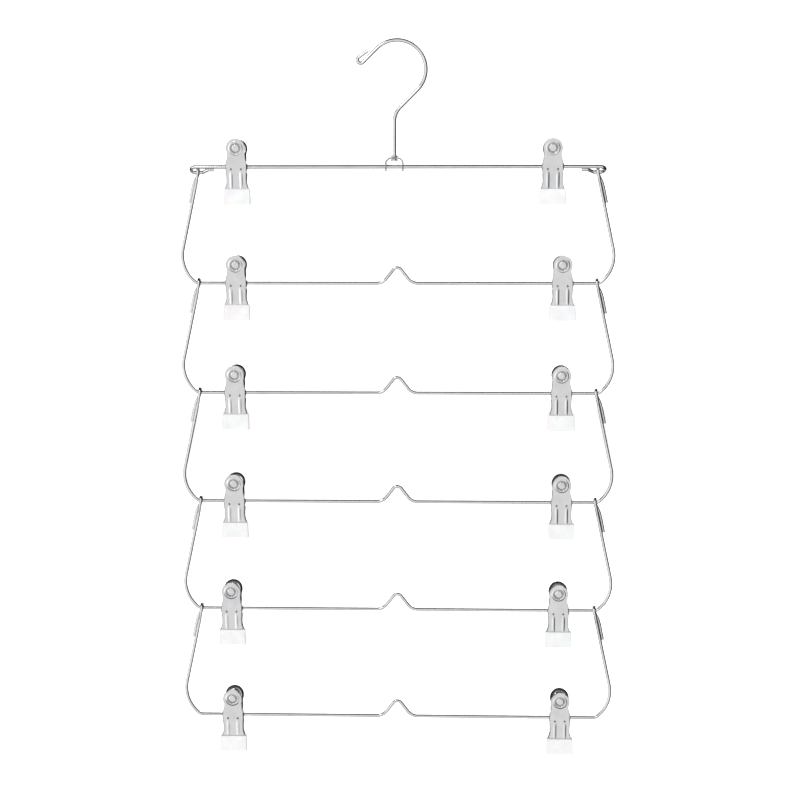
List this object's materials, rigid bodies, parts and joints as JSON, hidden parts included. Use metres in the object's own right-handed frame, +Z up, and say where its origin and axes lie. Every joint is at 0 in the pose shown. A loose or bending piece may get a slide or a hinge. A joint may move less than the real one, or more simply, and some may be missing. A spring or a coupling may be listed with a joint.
{
  "type": "folding clip hanger",
  "caption": "Folding multi-row clip hanger of chromed wire: swivel hook, top bar, hinged wire tier frames and sliding sprung clips with soft tips.",
  "frame": {"origin": "on the inside top of the hook, where the rail bears", "axes": "+Z up, +X to the right seen from the front, the front faces -Y"},
  "size_m": [0.3146, 0.0237, 0.5212],
  "materials": {
    "chrome_wire": "bright chrome plated wire",
    "chrome_sheet": "chrome plated pressed sheet, lightly brushed",
    "spring_steel": "zinc plated spring wire",
    "soft_tip": "milky translucent dipped vinyl"
  },
  "bodies": {
    "hook": {"hook": "chrome_wire"},
    "top_bar": {"top_bar": "chrome_wire", "saddle": "chrome_sheet"},
    "tier_row2": {"frame_row2": "chrome_wire"},
    "tier_row3": {"frame_row3": "chrome_wire"},
    "tier_row4": {"frame_row4": "chrome_wire"},
    "tier_row5": {"frame_row5": "chrome_wire"},
    "tier_row6": {"frame_row6": "chrome_wire"},
    "clip_1_left_spring": {"clip_1_left_spring": "spring_steel"},
    "clip_1_left_rear": {"clip_1_left_rear_jaw": "chrome_sheet"},
    "clip_1_left_front": {"clip_1_left_front_jaw": "chrome_sheet"},
    "clip_1_right_spring": {"clip_1_right_spring": "spring_steel"},
    "clip_1_right_rear": {"clip_1_right_rear_jaw": "chrome_sheet"},
    "clip_1_right_front": {"clip_1_right_front_jaw": "chrome_sheet"},
    "clip_2_left_spring": {"clip_2_left_spring": "spring_steel"},
    "clip_2_left_rear": {"clip_2_left_rear_jaw": "chrome_sheet"},
    "clip_2_left_front": {"clip_2_left_front_jaw": "chrome_sheet"},
    "clip_2_right_spring": {"clip_2_right_spring": "spring_steel"},
    "clip_2_right_rear": {"clip_2_right_rear_jaw": "chrome_sheet"},
    "clip_2_right_front": {"clip_2_right_front_jaw": "chrome_sheet"},
    "clip_3_left_spring": {"clip_3_left_spring": "spring_steel"},
    "clip_3_left_rear": {"clip_3_left_rear_jaw": "chrome_sheet"},
    "clip_3_left_front": {"clip_3_left_front_jaw": "chrome_sheet"},
    "clip_3_right_spring": {"clip_3_right_spring": "spring_steel"},
    "clip_3_right_rear": {"clip_3_right_rear_jaw": "chrome_sheet"},
    "clip_3_right_front": {"clip_3_right_front_jaw": "chrome_sheet"},
    "clip_4_left_spring": {"clip_4_left_spring": "spring_steel"},
    "clip_4_left_rear": {"clip_4_left_rear_jaw": "chrome_sheet"},
    "clip_4_left_front": {"clip_4_left_front_jaw": "chrome_sheet"},
    "clip_4_right_spring": {"clip_4_right_spring": "spring_steel"},
    "clip_4_right_rear": {"clip_4_right_rear_jaw": "chrome_sheet"},
    "clip_4_right_front": {"clip_4_right_front_jaw": "chrome_sheet"},
    "clip_5_left_spring": {"clip_5_left_spring": "spring_steel"},
    "clip_5_left_rear": {"clip_5_left_rear_jaw": "chrome_sheet"},
    "clip_5_left_front": {"clip_5_left_front_jaw": "chrome_sheet"},
    "clip_5_right_spring": {"clip_5_right_spring": "spring_steel"},
    "clip_5_right_rear": {"clip_5_right_rear_jaw": "chrome_sheet"},
    "clip_5_right_front": {"clip_5_right_front_jaw": "chrome_sheet"},
    "clip_6_left_spring": {"clip_6_left_spring": "spring_steel"},
    "clip_6_left_rear": {"clip_6_left_rear_jaw": "chrome_sheet"},
    "clip_6_left_front": {"clip_6_left_front_jaw": "chrome_sheet"},
    "clip_6_right_spring": {"clip_6_right_spring": "spring_steel"},
    "clip_6_right_rear": {"clip_6_right_rear_jaw": "chrome_sheet"},
    "clip_6_right_front": {"clip_6_right_front_jaw": "chrome_sheet"}
  },
  "joints": [
    {"name": "hook_swivel", "type": "hinge", "parent": "hook", "child": "top_bar", "pos_m": [-0.0018, 0, -0.0819], "axis": [0, 0, 1], "continuous": true},
    {"name": "fold_row2", "type": "hinge", "parent": "top_bar", "child": "tier_row2", "pos_m": [0, 0.00541, -0.09229], "axis": [-1, 0, 0], "range_deg": [-90, 65]},
    {"name": "fold_row3", "type": "hinge", "parent": "tier_row2", "child": "tier_row3", "pos_m": [0, 0.00541, -0.17199], "axis": [-1, 0, 0], "range_deg": [-60, 60]},
    {"name": "fold_row4", "type": "hinge", "parent": "tier_row3", "child": "tier_row4", "pos_m": [0, 0.00541, -0.25169], "axis": [-1, 0, 0], "range_deg": [-75, 75]},
    {"name": "fold_row5", "type": "hinge", "parent": "tier_row4", "child": "tier_row5", "pos_m": [0, 0.00541, -0.33139], "axis": [-1, 0, 0], "range_deg": [-60, 60]},
    {"name": "fold_row6", "type": "hinge", "parent": "tier_row5", "child": "tier_row6", "pos_m": [0, 0.00541, -0.41109], "axis": [-1, 0, 0], "range_deg": [-135, 135]},
    {"name": "clip_1_left_slide", "type": "slide", "parent": "top_bar", "child": "clip_1_left_spring", "axis": [1, 0, 0], "range_m": [-0.0086, 0.0974]},
    {"name": "clip_1_left_swing", "type": "hinge", "parent": "clip_1_left_spring", "child": "clip_1_left_rear", "pos_m": [-0.1154, 0, -0.0885], "axis": [1, 0, 0], "continuous": true},
    {"name": "clip_1_left_open", "type": "hinge", "parent": "clip_1_left_rear", "child": "clip_1_left_front", "pos_m": [-0.1154, 0, -0.0885], "axis": [-1, 0, 0], "range_deg": [0, 32], "stiffness_Nm_per_rad": 0.12, "springref_deg": -51.57},
    {"name": "clip_1_right_slide", "type": "slide", "parent": "top_bar", "child": "clip_1_right_spring", "axis": [1, 0, 0], "range_m": [-0.0935, 0.0125]},
    {"name": "clip_1_right_swing", "type": "hinge", "parent": "clip_1_right_spring", "child": "clip_1_right_rear", "pos_m": [0.1115, 0, -0.0885], "axis": [1, 0, 0], "continuous": true},
    {"name": "clip_1_right_open", "type": "hinge", "parent": "clip_1_right_rear", "child": "clip_1_right_front", "pos_m": [0.1115, 0, -0.0885], "axis": [-1, 0, 0], "range_deg": [0, 32], "stiffness_Nm_per_rad": 0.12, "springref_deg": -51.57},
    {"name": "clip_2_left_slide", "type": "slide", "parent": "tier_row2", "child": "clip_2_left_spring", "axis": [1, 0, 0], "range_m": [-0.0152, 0.0928]},
    {"name": "clip_2_left_swing", "type": "hinge", "parent": "clip_2_left_spring", "child": "clip_2_left_rear", "pos_m": [-0.1168, 0.00541, -0.17209], "axis": [1, 0, 0], "continuous": true},
    {"name": "clip_2_left_open", "type": "hinge", "parent": "clip_2_left_rear", "child": "clip_2_left_front", "pos_m": [-0.1168, 0.00541, -0.17209], "axis": [-1, 0, 0], "range_deg": [0, 32], "stiffness_Nm_per_rad": 0.12, "springref_deg": -51.57},
    {"name": "clip_2_right_slide", "type": "slide", "parent": "tier_row2", "child": "clip_2_right_spring", "axis": [1, 0, 0], "range_m": [-0.0953, 0.0127]},
    {"name": "clip_2_right_swing", "type": "hinge", "parent": "clip_2_right_spring", "child": "clip_2_right_rear", "pos_m": [0.1193, 0.00541, -0.17209], "axis": [1, 0, 0], "continuous": true},
    {"name": "clip_2_right_open", "type": "hinge", "parent": "clip_2_right_rear", "child": "clip_2_right_front", "pos_m": [0.1193, 0.00541, -0.17209], "axis": [-1, 0, 0], "range_deg": [0, 32], "stiffness_Nm_per_rad": 0.12, "springref_deg": -51.57},
    {"name": "clip_3_left_slide", "type": "slide", "parent": "tier_row3", "child": "clip_3_left_spring", "axis": [1, 0, 0], "range_m": [-0.0139, 0.0941]},
    {"name": "clip_3_left_swing", "type": "hinge", "parent": "clip_3_left_spring", "child": "clip_3_left_rear", "pos_m": [-0.1181, 0.00541, -0.25179], "axis": [1, 0, 0], "continuous": true},
    {"name": "clip_3_left_open", "type": "hinge", "parent": "clip_3_left_rear", "child": "clip_3_left_front", "pos_m": [-0.1181, 0.00541, -0.25179], "axis": [-1, 0, 0], "range_deg": [0, 32], "stiffness_Nm_per_rad": 0.12, "springref_deg": -51.57},
    {"name": "clip_3_right_slide", "type": "slide", "parent": "tier_row3", "child": "clip_3_right_spring", "axis": [1, 0, 0], "range_m": [-0.095, 0.013]},
    {"name": "clip_3_right_swing", "type": "hinge", "parent": "clip_3_right_spring", "child": "clip_3_right_rear", "pos_m": [0.119, 0.00541, -0.25179], "axis": [1, 0, 0], "continuous": true},
    {"name": "clip_3_right_open", "type": "hinge", "parent": "clip_3_right_rear", "child": "clip_3_right_front", "pos_m": [0.119, 0.00541, -0.25179], "axis": [-1, 0, 0], "range_deg": [0, 32], "stiffness_Nm_per_rad": 0.12, "springref_deg": -51.57},
    {"name": "clip_4_left_slide", "type": "slide", "parent": "tier_row4", "child": "clip_4_left_spring", "axis": [1, 0, 0], "range_m": [-0.0129, 0.0951]},
    {"name": "clip_4_left_swing", "type": "hinge", "parent": "clip_4_left_spring", "child": "clip_4_left_rear", "pos_m": [-0.1191, 0.00541, -0.33149], "axis": [1, 0, 0], "continuous": true},
    {"name": "clip_4_left_open", "type": "hinge", "parent": "clip_4_left_rear", "child": "clip_4_left_front", "pos_m": [-0.1191, 0.00541, -0.33149], "axis": [-1, 0, 0], "range_deg": [0, 32], "stiffness_Nm_per_rad": 0.12, "springref_deg": -51.57},
    {"name": "clip_4_right_slide", "type": "slide", "parent": "tier_row4", "child": "clip_4_right_spring", "axis": [1, 0, 0], "range_m": [-0.0956, 0.0124]},
    {"name": "clip_4_right_swing", "type": "hinge", "parent": "clip_4_right_spring", "child": "clip_4_right_rear", "pos_m": [0.1196, 0.00541, -0.33149], "axis": [1, 0, 0], "continuous": true},
    {"name": "clip_4_right_open", "type": "hinge", "parent": "clip_4_right_rear", "child": "clip_4_right_front", "pos_m": [0.1196, 0.00541, -0.33149], "axis": [-1, 0, 0], "range_deg": [0, 32], "stiffness_Nm_per_rad": 0.12, "springref_deg": -51.57},
    {"name": "clip_5_left_slide", "type": "slide", "parent": "tier_row5", "child": "clip_5_left_spring", "axis": [1, 0, 0], "range_m": [-0.0103, 0.0977]},
    {"name": "clip_5_left_swing", "type": "hinge", "parent": "clip_5_left_spring", "child": "clip_5_left_rear", "pos_m": [-0.1217, 0.00541, -0.41119], "axis": [1, 0, 0], "continuous": true},
    {"name": "clip_5_left_open", "type": "hinge", "parent": "clip_5_left_rear", "child": "clip_5_left_front", "pos_m": [-0.1217, 0.00541, -0.41119], "axis": [-1, 0, 0], "range_deg": [0, 32], "stiffness_Nm_per_rad": 0.12, "springref_deg": -51.57},
    {"name": "clip_5_right_slide", "type": "slide", "parent": "tier_row5", "child": "clip_5_right_spring", "axis": [1, 0, 0], "range_m": [-0.0939, 0.0141]},
    {"name": "clip_5_right_swing", "type": "hinge", "parent": "clip_5_right_spring", "child": "clip_5_right_rear", "pos_m": [0.1179, 0.00541, -0.41119], "axis": [1, 0, 0], "continuous": true},
    {"name": "clip_5_right_open", "type": "hinge", "parent": "clip_5_right_rear", "child": "clip_5_right_front", "pos_m": [0.1179, 0.00541, -0.41119], "axis": [-1, 0, 0], "range_deg": [0, 32], "stiffness_Nm_per_rad": 0.12, "springref_deg": -51.57},
    {"name": "clip_6_left_slide", "type": "slide", "parent": "tier_row6", "child": "clip_6_left_spring", "axis": [1, 0, 0], "range_m": [-0.0107, 0.0973]},
    {"name": "clip_6_left_swing", "type": "hinge", "parent": "clip_6_left_spring", "child": "clip_6_left_rear", "pos_m": [-0.1213, 0.00541, -0.49089], "axis": [1, 0, 0], "continuous": true},
    {"name": "clip_6_left_open", "type": "hinge", "parent": "clip_6_left_rear", "child": "clip_6_left_front", "pos_m": [-0.1213, 0.00541, -0.49089], "axis": [-1, 0, 0], "range_deg": [0, 32], "stiffness_Nm_per_rad": 0.12, "springref_deg": -51.57},
    {"name": "clip_6_right_slide", "type": "slide", "parent": "tier_row6", "child": "clip_6_right_spring", "axis": [1, 0, 0], "range_m": [-0.0955, 0.0125]},
    {"name": "clip_6_right_swing", "type": "hinge", "parent": "clip_6_right_spring", "child": "clip_6_right_rear", "pos_m": [0.1195, 0.00541, -0.49089], "axis": [1, 0, 0], "continuous": true},
    {"name": "clip_6_right_open", "type": "hinge", "parent": "clip_6_right_rear", "child": "clip_6_right_front", "pos_m": [0.1195, 0.00541, -0.49089], "axis": [-1, 0, 0], "range_deg": [0, 32], "stiffness_Nm_per_rad": 0.12, "springref_deg": -51.57}
  ]
}
